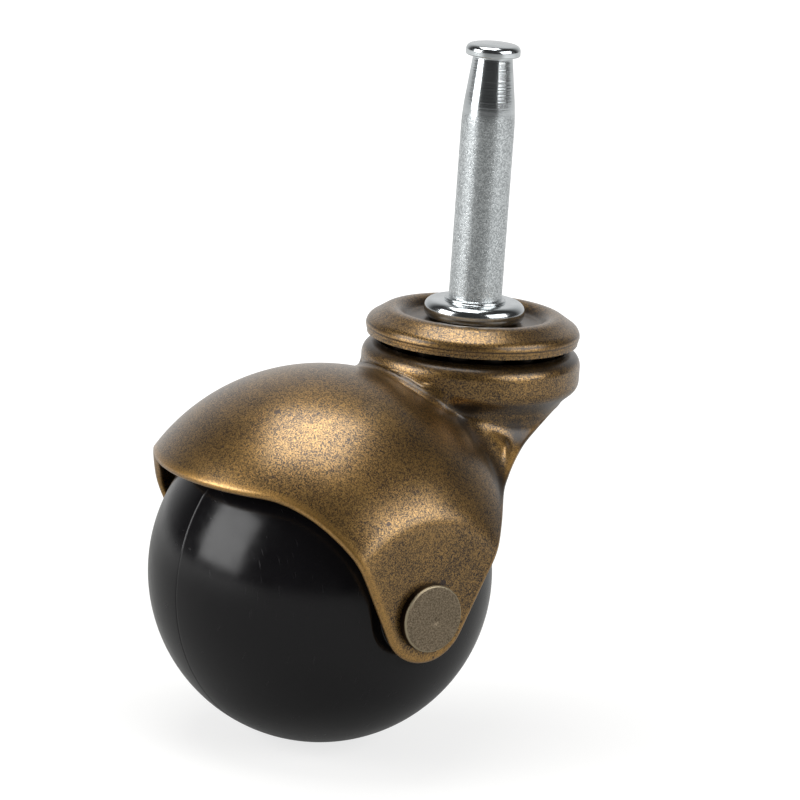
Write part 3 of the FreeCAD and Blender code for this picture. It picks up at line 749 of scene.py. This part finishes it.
def zinc_plate(colours, grip_length):
    """Bright zinc plate over cold-headed steel.

    The grip is satin with a fine crystalline grain of about a fifth of a millimetre. The tapered neck, the
    head and the collar are smoother and brighter. Turning marks run round the stem as faint rings.
    """
    material, tree, output, place = new_material("bright_zinc_plate")
    height = node(tree, "ShaderNodeSeparateXYZ", {0: place}).outputs["Z"]
    fade = 0.4 * MM
    under_neck = node(tree, "ShaderNodeMapRange", {"Value": height, "From Min": grip_length - fade,
                                                   "From Max": grip_length + fade, "To Min": 1.0,
                                                   "To Max": 0.0}).outputs["Result"]
    over_collar = node(tree, "ShaderNodeMapRange", {"Value": height, "From Min": -0.3 * MM,
                                                    "From Max": 0.2 * MM, "To Min": 0.0,
                                                    "To Max": 1.0}).outputs["Result"]
    grip = node(tree, "ShaderNodeMath", {0: under_neck, 1: over_collar}, operation="MULTIPLY").outputs[0]
    clump = node(tree, "ShaderNodeTexNoise", {"Vector": place, "Scale": 1 / (0.5 * MM), "Detail": 3.0,
                                              "Roughness": 0.7}).outputs["Fac"]
    crystals = node(tree, "ShaderNodeTexVoronoi", {"Vector": place,
                                                   "Scale": 1 / (0.18 * MM)}).outputs["Color"]
    grain = node(tree, "ShaderNodeMix", {0: 0.5, 2: clump, 3: crystals}).outputs[0]
    cloud = node(tree, "ShaderNodeTexNoise", {"Vector": place, "Scale": 1 / (3.5 * MM),
                                              "Detail": 3.0}).outputs["Fac"]
    stretch = (60.0, 60.0, 1 / (0.3 * MM))
    ring_place = node(tree, "ShaderNodeMapping", {"Vector": place, "Scale": stretch}).outputs[0]
    rings = node(tree, "ShaderNodeTexNoise", {"Vector": ring_place, "Scale": 1.0,
                                              "Detail": 2.0}).outputs["Fac"]
    grip_share = node(tree, "ShaderNodeMapRange", {"Value": grain, "From Min": 0.36, "From Max": 0.66,
                                                   "To Min": 0.0, "To Max": 1.0}).outputs["Result"]
    smooth_share = node(tree, "ShaderNodeMapRange", {"Value": cloud, "From Min": 0.3, "From Max": 0.6,
                                                     "To Min": 0.6, "To Max": 1.0}).outputs["Result"]
    share = node(tree, "ShaderNodeMix", {0: grip, 2: smooth_share, 3: grip_share}).outputs[0]
    tint = node(tree, "ShaderNodeMix", {0: share, 6: colours.zinc_dull, 7: colours.zinc},
                data_type="RGBA").outputs[2]
    satin = node(tree, "ShaderNodeMapRange", {"Value": grain, "From Min": 0.3, "From Max": 0.7,
                                              "To Min": 0.34, "To Max": 0.22}).outputs["Result"]
    gloss = node(tree, "ShaderNodeMix", {0: grip, 2: 0.16, 3: satin}).outputs[0]
    rough = node(tree, "ShaderNodeMath", {0: grain, 1: grip}, operation="MULTIPLY").outputs[0]
    bump = node(tree, "ShaderNodeBump", {"Height": rough, "Strength": 0.5,
                                         "Distance": 0.03 * MM}).outputs["Normal"]
    ringed = node(tree, "ShaderNodeBump", {"Height": rings, "Strength": 0.5, "Distance": 0.02 * MM,
                                           "Normal": bump}).outputs["Normal"]
    shader = node(tree, "ShaderNodeBsdfPrincipled", {"Base Color": tint, "Metallic": 1.0,
                                                     "Roughness": gloss, "Normal": ringed})
    tree.links.new(shader.outputs[0], output.inputs["Surface"])
    return material


def black_plastic(colours):
    """Black moulded polypropylene ball, polished by the mould.

    It has a soft gloss, a faint orange peel of about two millimetres, a few fine scuffs and a little dust.
    """
    material, tree, output, place = new_material("moulded_black_plastic")
    peel = node(tree, "ShaderNodeTexNoise", {"Vector": place, "Scale": 1 / (2.2 * MM),
                                             "Detail": 2.0}).outputs["Fac"]
    dust = node(tree, "ShaderNodeTexNoise", {"Vector": place, "Scale": 1 / (0.7 * MM),
                                             "Detail": 2.0}).outputs["Fac"]
    stretch = (1 / (0.25 * MM), 1 / (3 * MM), 1 / (3 * MM))
    scuff_place = node(tree, "ShaderNodeMapping", {"Vector": place, "Rotation": (0.4, 0.3, 0.7),
                                                   "Scale": stretch}).outputs[0]
    scuff = node(tree, "ShaderNodeTexNoise", {"Vector": scuff_place, "Scale": 1.0,
                                              "Detail": 2.0}).outputs["Fac"]
    scratch = node(tree, "ShaderNodeMapRange", {"Value": scuff, "From Min": 0.67, "From Max": 0.8,
                                                "To Min": 0.0, "To Max": 1.0}).outputs["Result"]
    speck = node(tree, "ShaderNodeMapRange", {"Value": dust, "From Min": 0.76, "From Max": 0.8,
                                              "To Min": 0.0, "To Max": 1.0}).outputs["Result"]
    marks = node(tree, "ShaderNodeMath", {0: scratch, 1: speck}, operation="MAXIMUM").outputs[0]
    tint = node(tree, "ShaderNodeMix", {0: marks, 6: colours.plastic, 7: colours.scuff},
                data_type="RGBA").outputs[2]
    gloss = node(tree, "ShaderNodeMapRange", {"Value": peel, "From Min": 0.3, "From Max": 0.7,
                                              "To Min": 0.16, "To Max": 0.22}).outputs["Result"]
    dulled = node(tree, "ShaderNodeMath", {0: marks, 1: 0.2, 2: gloss}, operation="MULTIPLY_ADD").outputs[0]
    bump = node(tree, "ShaderNodeBump", {"Height": peel, "Strength": 0.12,
                                         "Distance": 0.03 * MM}).outputs["Normal"]
    shader = node(tree, "ShaderNodeBsdfPrincipled", {"Base Color": tint, "Roughness": dulled,
                                                     "Specular IOR Level": 0.33, "Normal": bump})
    tree.links.new(shader.outputs[0], output.inputs["Surface"])
    return material


def pewter_rivet(colours):
    """Steel rivet with a dark brown-grey plating: speckled face, worn bright rim and painted shade on its
    sides.
    """
    material, tree, output, place = new_material("dark_plated_rivet")
    grain = node(tree, "ShaderNodeTexNoise", {"Vector": place, "Scale": 1 / (0.26 * MM), "Detail": 3.0,
                                              "Roughness": 0.65}).outputs["Fac"]
    rubbed_and_highlight = node(tree, "ShaderNodeAttribute", attribute_name="rubbed_and_highlight").outputs["Fac"]
    recess = node(tree, "ShaderNodeAttribute", attribute_name="recess").outputs["Fac"]
    share = node(tree, "ShaderNodeMapRange", {"Value": grain, "From Min": 0.32, "From Max": 0.68,
                                              "To Min": 0.0, "To Max": 1.0}).outputs["Result"]
    face = node(tree, "ShaderNodeMix", {0: share, 6: colours.pewter_dark, 7: colours.pewter},
                data_type="RGBA").outputs[2]
    rim = node(tree, "ShaderNodeMix", {0: rubbed_and_highlight, 6: face, 7: colours.pewter_rim},
               data_type="RGBA").outputs[2]
    # Painted shade on the sides of the heads
    tint = node(tree, "ShaderNodeMix", {0: recess, 6: rim, 7: colours.rivet_side_shade},
                data_type="RGBA").outputs[2]
    gloss = node(tree, "ShaderNodeMapRange", {"Value": grain, "From Min": 0.3, "From Max": 0.7,
                                              "To Min": 0.55, "To Max": 0.4}).outputs["Result"]
    bump = node(tree, "ShaderNodeBump", {"Height": grain, "Strength": 0.3,
                                         "Distance": 0.02 * MM}).outputs["Normal"]
    shader = node(tree, "ShaderNodeBsdfPrincipled", {"Base Color": tint, "Metallic": 1.0,
                                                     "Roughness": gloss, "Normal": bump})
    tree.links.new(shader.outputs[0], output.inputs["Surface"])
    return material


def bearing_steel_and_shade(colours):
    """Hardened bearing steel under dark grease, which is thicker in smears some millimetres wide; both are
    coloured dark as painted shade in the gap under the swivel cap.
    """
    material, tree, output, place = new_material("greased_steel_painted_shade")
    smear = node(tree, "ShaderNodeTexNoise", {"Vector": place, "Scale": 1 / (2.5 * MM),
                                              "Detail": 3.0}).outputs["Fac"]
    tint = node(tree, "ShaderNodeMix", {0: smear, 6: colours.grease_and_shade, 7: colours.steel},
                data_type="RGBA").outputs[2]
    gloss = node(tree, "ShaderNodeMapRange", {"Value": smear, "From Min": 0.3, "From Max": 0.7,
                                              "To Min": 0.55, "To Max": 0.35}).outputs["Result"]
    shader = node(tree, "ShaderNodeBsdfPrincipled", {"Base Color": tint, "Metallic": 1.0,
                                                     "Roughness": gloss})
    tree.links.new(shader.outputs[0], output.inputs["Surface"])
    return material


class CASTOR_OT_hood(bpy.types.Operator):
    """Pressed hood with its round neck, flared skirt, dome and ears"""
    bl_idname = "castor.hood"
    bl_label = "Hood"

    def execute(self, context):
        scene = context.scene
        grid, values = hood_grid(scene.castor_hood)
        if not np.isfinite(grid).all():
            raise ValueError("the hood's grid has places that aren't numbers")
        piece = grid_piece("pressed_hood", grid, close_rows=True, values=values)
        settle(piece, "hood_set", "antique_brass", antique_brass(scene.castor_finish), "hood")
        return {"FINISHED"}


class CASTOR_OT_swivel_cap(bpy.types.Operator):
    """Pressed swivel cap with a domed ring and a turned-down hem"""
    bl_idname = "castor.swivel_cap"
    bl_label = "Swivel cap"

    def execute(self, context):
        size = context.scene.castor_turned
        floor = float(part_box("swivel_cap")[1].z) - size.crown_rise
        crown = np.array([size.crown_ring, floor + size.crown_rise - size.cap_crown])
        into, out = size.crown_inside, size.crown_outside
        normals = np.array([[0, 1], [-math.sin(into), math.cos(into)],
                            [math.sin(out), math.cos(out)], [1, 0]])
        reach = np.array([floor, *(normals[1:3] @ crown + size.cap_crown), cap_radius])

        def corners(depth):
            pairs = [np.linalg.solve(normals[k:k + 2], reach[k:k + 2] - depth) for k in range(3)]
            return [(size.cap_hole, floor - depth), *pairs, (cap_radius - depth, cap_hem)]

        band = cap_radius - size.hem_step
        step_top, step_foot = cap_hem + 0.57 * MM, cap_hem + 0.47 * MM
        outer = corners(0)[:-1] + [(cap_radius, step_top), (band, step_foot), (band, cap_hem)]
        outer_rounds = np.array([0.05, 0.9, size.cap_crown / MM, 1.7, 0.05, 0.08, 0.1]) * MM
        inner = corners(size.cap_sheet)[::-1]
        inner_rounds = np.array([0.1, 1.15, 1.75, 1.4, 0.05]) * MM
        profile = rounded_path(outer + inner + outer[:1], [*outer_rounds, *inner_rounds, 0], 0.16 * MM)[:-1]
        grid = turned_grid(profile, size.columns * 2)
        radius = np.hypot(grid[..., 0], grid[..., 1])
        above_hem = grid[..., 2] - cap_hem
        # Darker inside the crown's ring, and painted shade in two thin lines at the hem's steps
        recess = 0.9 - 0.9 * blend_in(10.2 * MM, 12.2 * MM, radius)
        hem_shade_lines = sum(bell(above_hem, height, 0.13 * MM) for height in (0.55 * MM, 1.2 * MM))
        recess = np.maximum(recess, 0.85 * np.minimum(hem_shade_lines, 1) * (radius > 15 * MM))
        rubbed_and_highlight = 0.3 * blend_in(1.4 * MM, 1.1 * MM, above_hem) * blend_in(15 * MM, 15.6 * MM, radius)
        values = {"recess": recess, "rubbed_and_highlight": rubbed_and_highlight}
        piece = grid_piece("swivel_cap_pressing", grid, close_rows=True, values=values)
        settle(piece, "stem_set", "antique_brass", bpy.data.materials["rubbed_antique_brass"], "swivel_cap")
        return {"FINISHED"}


class CASTOR_OT_stem(bpy.types.Operator):
    """Grip-neck stem with its collar and its peened end"""
    bl_idname = "castor.stem"
    bl_label = "Stem"

    def execute(self, context):
        scene = context.scene
        size = scene.castor_turned
        under_head = stem_top - size.head_height
        collar_top = -size.base_ring_height
        collar_low = collar_top - size.collar_height
        peen_top = stem_foot + size.peen_height
        # Radius, height and rounding of each corner, from the head's middle down to the foot's middle
        corners = np.array([
            (0, stem_top, 0),
            (size.head - 1.6 * MM, stem_top - 0.1 * MM, 3.0 * MM),
            (size.head, stem_top - 0.4 * MM, 0.9 * MM),
            (size.head, under_head, 0.2 * MM),
            (size.neck, under_head, 0.15 * MM),
            (size.neck, under_head - 0.35 * MM, 0.1 * MM),
            (size.grip, size.grip_length, 40 * MM),
            (size.grip, 0, 0.15 * MM),
            (size.base_ring, 0, 0.15 * MM),
            (size.base_ring, collar_top, 0.1 * MM),
            (size.collar, collar_top, size.collar_round),
            (size.collar, collar_low, size.collar_round),
            (size.shank, collar_low, 0.1 * MM),
            (size.shank, peen_top, 0.1 * MM),
            (size.peen, peen_top, 0.2 * MM),
            (size.peen, stem_foot, 1.4 * MM),
            (0, stem_foot, 0)])
        profile = rounded_path(corners[:, :2], corners[:, 2], 0.2 * MM)
        piece = grid_piece("grip_stem", turned_grid(profile, size.columns))
        material = zinc_plate(scene.castor_finish, size.grip_length)
        settle(piece, "stem_set", "zinc_plate", material, "stem")
        return {"FINISHED"}


class CASTOR_OT_ball_wheel(bpy.types.Operator):
    """Black ball with flats, hub bosses and a mould seam round its middle"""
    bl_idname = "castor.ball_wheel"
    bl_label = "Ball wheel"

    def execute(self, context):
        scene = context.scene
        size = scene.castor_turned
        boss, bore = size.wheel_boss, size.wheel_bore
        flat_y = math.sqrt(ball_radius ** 2 - size.wheel_flat ** 2)
        # The rows lie closer together near the seam
        spread = np.linspace(-1, 1, 241)
        latitude = math.asin(flat_y / ball_radius) * (0.12 * spread + 0.88 * spread ** 3)
        seam = size.seam * bell(ball_radius * latitude, 0, size.seam_width)
        arc = (ball_radius - seam)[:, None] * np.stack([np.cos(latitude), np.sin(latitude)], axis=1)
        near = rounded_path([(bore, -hub_face), (boss, -hub_face), (boss, -flat_y), tuple(arc[0])],
                            np.array([0, 0.3, 0.2, 0]) * MM, 0.3 * MM)[:-1]
        tunnel_rows = 10
        tunnel_y = np.linspace(hub_face, -hub_face, tunnel_rows + 2)[1:-1]
        tunnel = np.stack([np.full(tunnel_rows, bore), tunnel_y], axis=1)
        profile = np.concatenate([near, arc, near[::-1] * (1, -1), tunnel])
        piece = grid_piece("ball", axle_grid(profile, size.columns * 2), close_rows=True)
        settle(piece, "wheel", "black_ball", black_plastic(scene.castor_finish), "ball_wheel")
        return {"FINISHED"}


class CASTOR_OT_axle_rivet(bpy.types.Operator):
    """Axle rivet with two flat heads"""
    bl_idname = "castor.axle_rivet"
    bl_label = "Axle rivet"

    def execute(self, context):
        scene = context.scene
        size = scene.castor_turned
        head = size.rivet_head
        # Radius, place along the axle and rounding of each corner, from the near head's middle to mid-axle
        corners = np.array([
            (0, -rivet_reach + 0.08 * MM, 0),
            (head - 0.5 * MM, -rivet_reach, 0.4 * MM),
            (head, -rivet_reach, 0.3 * MM),
            (head, -ear_face, 0.1 * MM),
            (size.rivet, -ear_face, 0.1 * MM),
            (size.rivet, 0, 0)])
        half = rounded_path(corners[:, :2], corners[:, 2], 0.2 * MM)
        grid = axle_grid(np.concatenate([half, half[-2::-1] * (1, -1)]), size.columns)
        q = grid - ball_centre
        from_dimple = np.hypot(q[..., 0] - 0.5 * MM, q[..., 2] + 0.4 * MM)
        dimple = size.dimple * bell(from_dimple, 0, 0.55 * MM)
        grid[..., 1] += np.where(q[..., 1] < -ear_face, dimple, 0)
        out, along = np.hypot(q[..., 0], q[..., 2]), np.abs(q[..., 1])
        # Painted shade on the heads' sides; the worn rim lies outside it
        recess = blend_in(0.1 * MM, 0.5 * MM, rivet_reach - along)
        rubbed_and_highlight = blend_in(0.3 * MM, 0.1 * MM, head - out) * (1 - recess)
        piece = grid_piece("axle_rivet_heads", grid, values={"rubbed_and_highlight": rubbed_and_highlight, "recess": recess})
        settle(piece, "hood_set", "pewter_rivet", pewter_rivet(scene.castor_finish), "axle_rivet")
        return {"FINISHED"}


class CASTOR_OT_bearing(bpy.types.Operator):
    """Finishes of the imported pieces: brass for race, cap and hood, steel for the rest"""
    bl_idname = "castor.bearing"
    bl_label = "Bearing"

    def execute(self, context):
        steel = bearing_steel_and_shade(context.scene.castor_finish)
        brass = bpy.data.materials["rubbed_antique_brass"]
        for name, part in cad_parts.items():
            part.data.materials.clear()
            part.data.materials.append(brass if name in ("upper_race", "swivel_cap", "hood") else steel)
        return {"FINISHED"}


def add_floor(scene, stage):
    """Grey floor that glows white for the camera and more weakly in reflections.

    In reflections it is dim near the castor and towards the camera, and lighter far out elsewhere.
    """
    half, z = 6.0, cad_low.z
    mesh = bpy.data.meshes.new("floor")
    mesh.from_pydata([(-half, -half, z), (half, -half, z), (half, half, z), (-half, half, z)], [],
                     [(0, 1, 2, 3)])
    floor = bpy.data.objects.new("floor", mesh)
    scene.collection.objects.link(floor)
    material, tree, output, place = new_material("pale_floor")
    path = node(tree, "ShaderNodeLightPath").outputs
    camera = path["Is Camera Ray"]
    reflected = node(tree, "ShaderNodeMath", {0: path["Is Glossy Ray"], 1: path["Is Transmission Ray"]},
                     operation="MAXIMUM").outputs[0]
    seen = node(tree, "ShaderNodeMath", {0: camera, 1: reflected}, operation="MAXIMUM").outputs[0]
    away = node(tree, "ShaderNodeVectorMath", {0: place}, operation="LENGTH").outputs["Value"]
    white = node(tree, "ShaderNodeMapRange", {"Value": away, "From Min": 0.08, "From Max": 0.3,
                                              "To Min": 0.75, "To Max": 1.0}).outputs["Result"]
    ahead = (math.sin(stage.azimuth), -math.cos(stage.azimuth), 0.0)
    along = node(tree, "ShaderNodeVectorMath", {0: place, 1: ahead},
                 operation="DOT_PRODUCT").outputs["Value"]
    facing = node(tree, "ShaderNodeMath", {0: along, 1: away}, operation="DIVIDE").outputs[0]
    far_out = node(tree, "ShaderNodeMapRange", {"Value": facing, "From Min": 0.6, "From Max": 0.85,
                                                "To Min": 0.55, "To Max": 0.12},
                   interpolation_type="SMOOTHSTEP").outputs["Result"]
    dim = node(tree, "ShaderNodeMapRange", {"Value": away, "From Min": 0.15, "From Max": 0.4,
                                            "To Min": 0.12, "To Max": far_out}).outputs["Result"]
    glow = node(tree, "ShaderNodeMix", {0: camera, 2: dim, 3: white}).outputs[0]
    shown = node(tree, "ShaderNodeMath", {0: seen, 1: glow}, operation="MULTIPLY").outputs[0]
    shader = node(tree, "ShaderNodeBsdfPrincipled", {"Base Color": stage.floor, "Roughness": 0.9,
                                                     "Specular IOR Level": 0.0, "Emission Color": WHITE,
                                                     "Emission Strength": shown})
    tree.links.new(shader.outputs[0], output.inputs["Surface"])
    mesh.materials.append(material)


def add_world(scene, stage):
    """White backdrop for the camera. In reflections it is light behind the castor and dark elsewhere."""
    world = bpy.data.worlds.new("studio")
    world.use_nodes = True
    tree = world.node_tree
    tree.nodes.clear()
    path = node(tree, "ShaderNodeLightPath").outputs
    reflected = node(tree, "ShaderNodeMath", {0: path["Is Glossy Ray"], 1: path["Is Transmission Ray"]},
                     operation="MAXIMUM").outputs[0]
    view = node(tree, "ShaderNodeTexCoord").outputs["Generated"]
    behind = (-math.sin(stage.azimuth), math.cos(stage.azimuth), 0.0)
    facing = node(tree, "ShaderNodeVectorMath", {0: view, 1: behind},
                  operation="DOT_PRODUCT").outputs["Value"]
    room = node(tree, "ShaderNodeMapRange", {"Value": facing, "From Min": 0.35, "From Max": 1.0,
                                             "To Min": 0.03, "To Max": 0.7},
                interpolation_type="SMOOTHSTEP").outputs["Result"]
    lit = node(tree, "ShaderNodeMix", {0: reflected, 2: 0.35, 3: room}).outputs[0]
    shown = node(tree, "ShaderNodeMath", {0: path["Is Camera Ray"], 1: lit}, operation="MAXIMUM").outputs[0]
    sky = node(tree, "ShaderNodeBackground", {"Color": WHITE, "Strength": shown})
    out = node(tree, "ShaderNodeOutputWorld")
    tree.links.new(sky.outputs[0], out.inputs["Surface"])
    scene.world = world


def posed(axes, origin):
    """Matrix with these three axes as its columns, and this origin."""
    return Matrix([[*(axis[k] for axis in axes), origin[k]] for k in range(3)] + [[0, 0, 0, 1]])


def add_lamps(scene):
    """Softboxes that face the castor's middle."""
    middle = np.array([-15, 0, -20]) * MM
    for name, (toward, (wide, high), power) in LAMPS.items():
        lamp = bpy.data.lights.new(name + "_softbox", "AREA")
        lamp.shape = "RECTANGLE"
        lamp.size, lamp.size_y = wide, high
        lamp.energy = power
        held = bpy.data.objects.new(name + "_softbox", lamp)
        axis = unit(np.array(toward))
        side = unit(np.cross((0, 0, 1), axis))
        held.matrix_world = posed((side, np.cross(axis, side), axis), middle + LAMP_DISTANCE * axis)
        scene.collection.objects.link(held)


def add_camera(scene, stage):
    """Camera on its distance, turned and rolled about the stem's foot and then shifted sideways."""
    az, el, roll = stage.azimuth, stage.elevation, stage.roll
    back = np.array([math.sin(az) * math.cos(el), -math.cos(az) * math.cos(el), math.sin(el)])
    level = np.array([math.cos(az), math.sin(az), 0])
    upright = np.cross(back, level)
    right = math.cos(roll) * level + math.sin(roll) * upright
    up = -math.sin(roll) * level + math.cos(roll) * upright
    eye = back * stage.distance + right * stage.across + up * stage.upward
    lens = bpy.data.cameras.new("camera")
    lens.sensor_width = 36
    lens.lens = stage.lens
    lens.clip_start, lens.clip_end = 0.01, 20
    camera = bpy.data.objects.new("camera", lens)
    camera.matrix_world = posed((right, up, back), eye)
    scene.collection.objects.link(camera)
    scene.camera = camera


class CASTOR_OT_stage(bpy.types.Operator):
    """Pale floor, white backdrop, soft lamps and camera"""
    bl_idname = "castor.stage"
    bl_label = "Stage"

    def execute(self, context):
        scene = context.scene
        add_floor(scene, scene.castor_stage)
        add_world(scene, scene.castor_stage)
        add_lamps(scene)
        add_camera(scene, scene.castor_stage)
        scene.view_settings.view_transform = "Standard"
        return {"FINISHED"}


class CASTOR_PT_pieces(bpy.types.Panel):
    """Lists the castor's pieces"""
    bl_idname = "CASTOR_PT_pieces"
    bl_label = "Ball castor"
    bl_space_type = "VIEW_3D"
    bl_region_type = "UI"
    bl_category = "Castor"

    def draw(self, context):
        for step in STEPS:
            self.layout.operator(step.bl_idname)


GROUPS = {"castor_hood": CastorHood, "castor_turned": CastorTurned, "castor_finish": CastorFinish,
          "castor_stage": CastorStage}
STEPS = (CASTOR_OT_hood, CASTOR_OT_swivel_cap, CASTOR_OT_stem, CASTOR_OT_ball_wheel, CASTOR_OT_axle_rivet,
         CASTOR_OT_bearing, CASTOR_OT_stage)


def register():
    for kind in (*GROUPS.values(), *STEPS, CASTOR_PT_pieces):
        bpy.utils.register_class(kind)
    for name, kind in GROUPS.items():
        setattr(bpy.types.Scene, name, PointerProperty(type=kind))


def unregister():
    for name in GROUPS:
        delattr(bpy.types.Scene, name)
    for kind in (CASTOR_PT_pieces, *reversed(STEPS), *reversed(GROUPS.values())):
        bpy.utils.unregister_class(kind)


def main():
    register()
    for step in STEPS:
        group, name = step.bl_idname.split(".")
        getattr(getattr(bpy.ops, group), name)()


if __name__ == "__main__":
    main()
